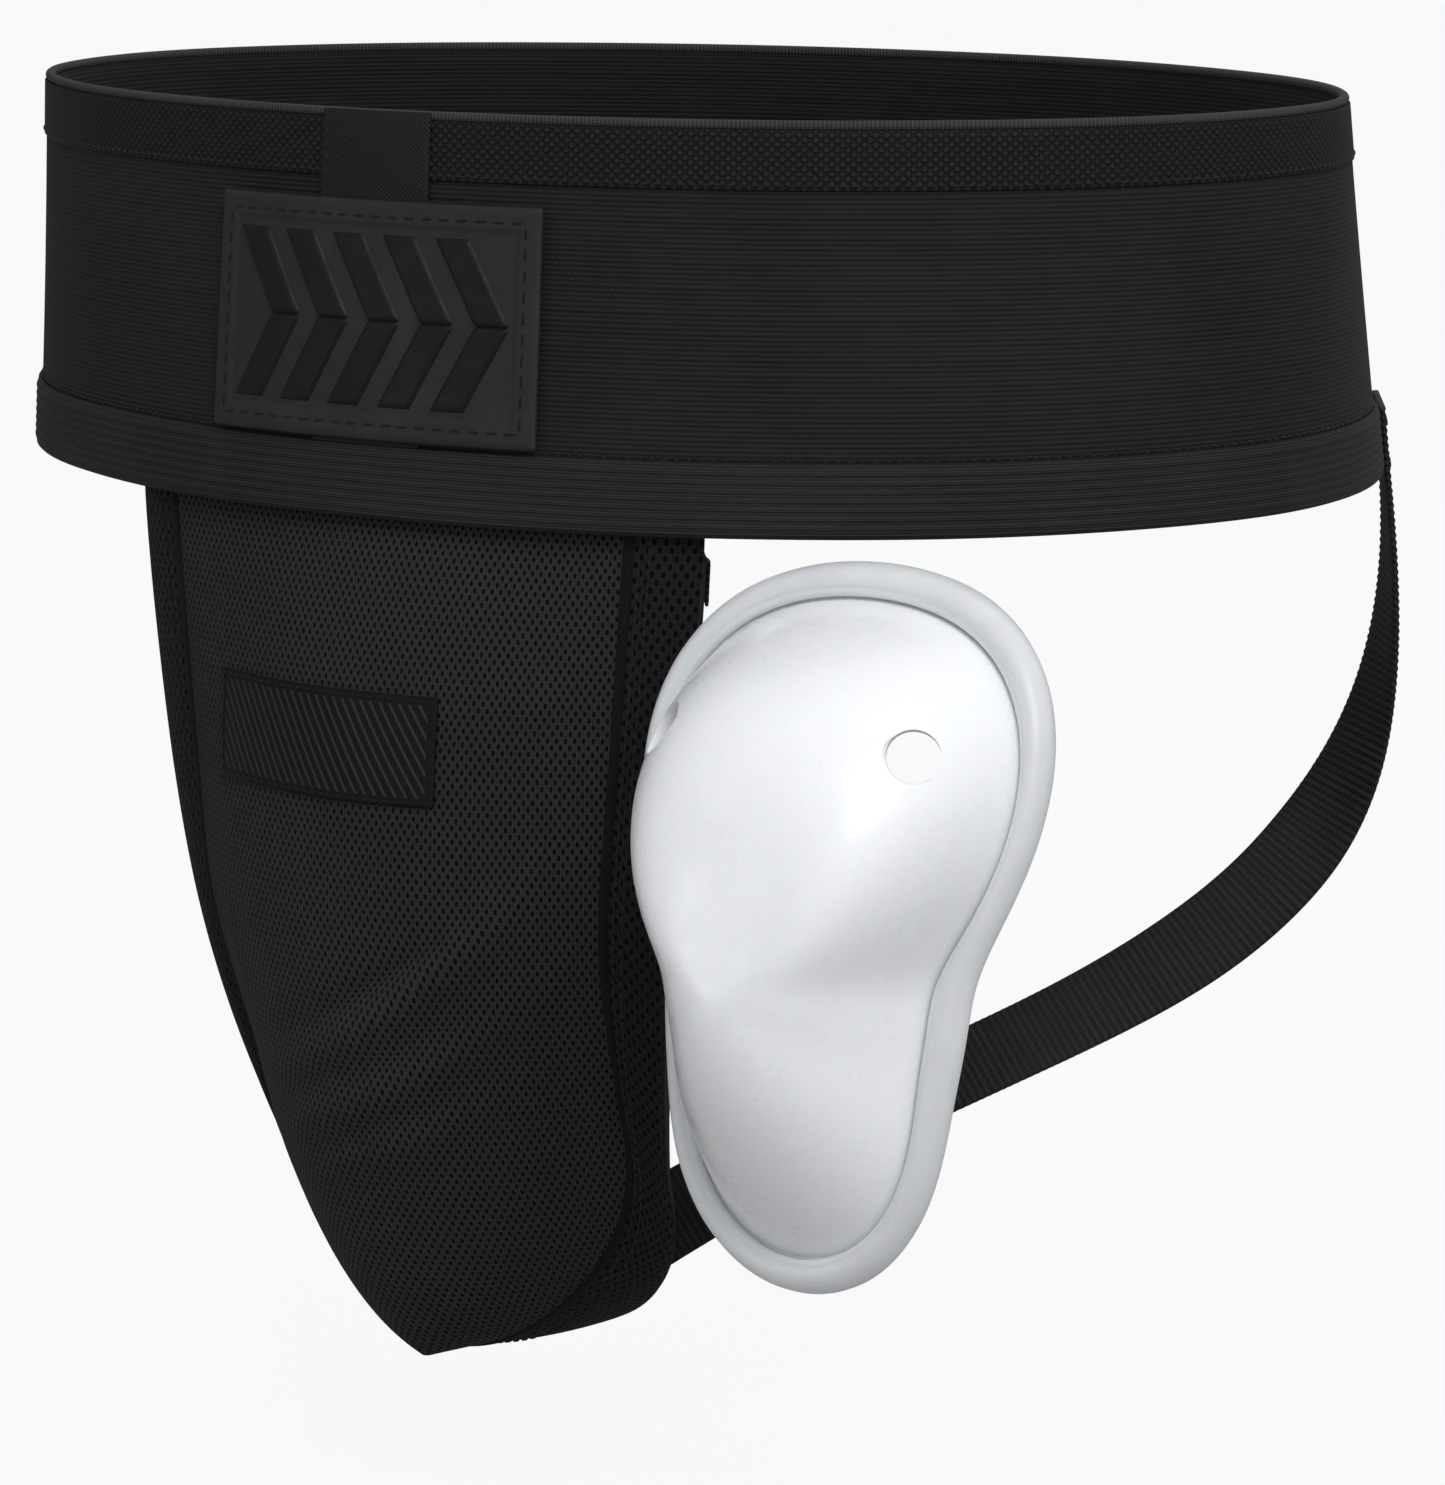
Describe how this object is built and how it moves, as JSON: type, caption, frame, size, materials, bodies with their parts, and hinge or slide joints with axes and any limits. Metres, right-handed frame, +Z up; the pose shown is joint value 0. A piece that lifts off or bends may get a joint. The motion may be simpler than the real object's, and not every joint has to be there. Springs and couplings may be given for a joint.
{
  "type": "groin protector",
  "caption": "Groin protector: wide elastic waistband with a front mesh pouch, two elastic leg straps and a removable hard cup with vent holes and a soft rim.",
  "frame": {"origin": "centre of the waist opening, level with the top edge of the waistband", "axes": "+X to the wearer's left, -Y to the wearer's front, +Z up out of the waist opening"},
  "size_m": [0.3329, 0.3087, 0.2767],
  "materials": {
    "band_elastic": "woven elastic, matt",
    "edge_binding": "knit edge, matt",
    "grip_weave": "coarse diamond weave",
    "ribbed_elastic": "ribbed elastic",
    "seam_tape": "smooth tape",
    "patch_rubber": "moulded, satin",
    "patch_relief_rubber": "moulded, satin",
    "thread": "polyester thread",
    "pouch_mesh": "open athletic mesh",
    "gusset_mesh": "dense mesh",
    "lining_knit": "soft knit",
    "woven_label": "woven satin",
    "strap_elastic": "ribbed elastic webbing",
    "cup_plastic": "moulded, soft gloss",
    "soft_rim": "translucent soft elastomer"
  },
  "bodies": {
    "garment": {"waistband_webbing": "band_elastic", "waist_edge_binding": "edge_binding", "upper_grip_band": "grip_weave", "ribbed_hem_band": "ribbed_elastic", "front_seam_tape": "seam_tape", "waistband_patch": "patch_rubber", "patch_relief": "patch_relief_rubber", "patch_stitching": "thread", "pouch_front_panel": "pouch_mesh", "pouch_gusset_left": "gusset_mesh", "pouch_gusset_right": "gusset_mesh", "pouch_bottom_gusset": "gusset_mesh", "pouch_lining": "lining_knit", "pocket_mouth_elastic": "strap_elastic", "pouch_label": "woven_label", "crotch_tab": "seam_tape", "leg_strap_left": "strap_elastic", "leg_strap_right": "strap_elastic", "strap_bar_tacks": "thread"},
    "cup": {"cup_shell": "cup_plastic", "cup_edge_cushion": "soft_rim"}
  },
  "joints": [
    {"name": "cup_slide", "type": "slide", "parent": "garment", "child": "cup", "axis": [-0.9439, 0.3304, 0], "range_m": [0, 0.1271], "deforming": ["pouch_front_panel", "pouch_gusset_left", "pouch_lining", "pocket_mouth_elastic", "pouch_label"]}
  ]
}
